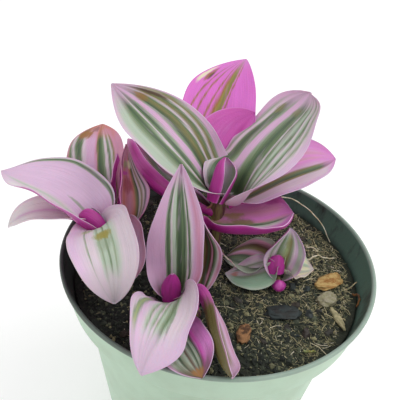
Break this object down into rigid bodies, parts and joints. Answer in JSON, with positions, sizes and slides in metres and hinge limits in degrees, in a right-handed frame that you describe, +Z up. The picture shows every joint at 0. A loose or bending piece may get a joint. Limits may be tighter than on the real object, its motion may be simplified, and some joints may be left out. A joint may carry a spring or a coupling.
{
  "type": "potted plant",
  "caption": "Bushy trailing houseplant with broad pointed striped leaves, growing from potting mix in a round tapered plastic nursery pot with a deep collar.",
  "frame": {"origin": "centre of the pot's underside, on the surface the pot stands on; the leaves overhang it to the left and to the back, so it is not the centre of the whole box", "axes": "+Z up along the pot's axis, the pictured side faces -Y, +X to the right in the picture"},
  "size_m": [0.1434, 0.1409, 0.1602],
  "materials": {
    "pot": "pale mint green moulded plastic, satin",
    "soil": "dark moist potting mix with tan fibres",
    "leaves": "living leaf, mauve margins with green and pale stripes, magenta underside",
    "root": "thin pale living root",
    "bark": "weathered orange-brown bark",
    "stone": "dull grey grit",
    "charred_bark": "near-black damp bark",
    "splinter": "pale dry wood splinter"
  },
  "bodies": {
    "root": {"pot": "pot", "soil": "soil", "leafy_stem_main": "leaves", "leafy_stem_left": "leaves", "leafy_stem_front": "leaves", "leafy_stem_small": "leaves", "aerial_root": "root", "bark_orange": "bark", "stone_grey": "stone", "bark_dark": "charred_bark", "bark_brown": "bark", "splinter_pale": "splinter"}
  },
  "joints": []
}
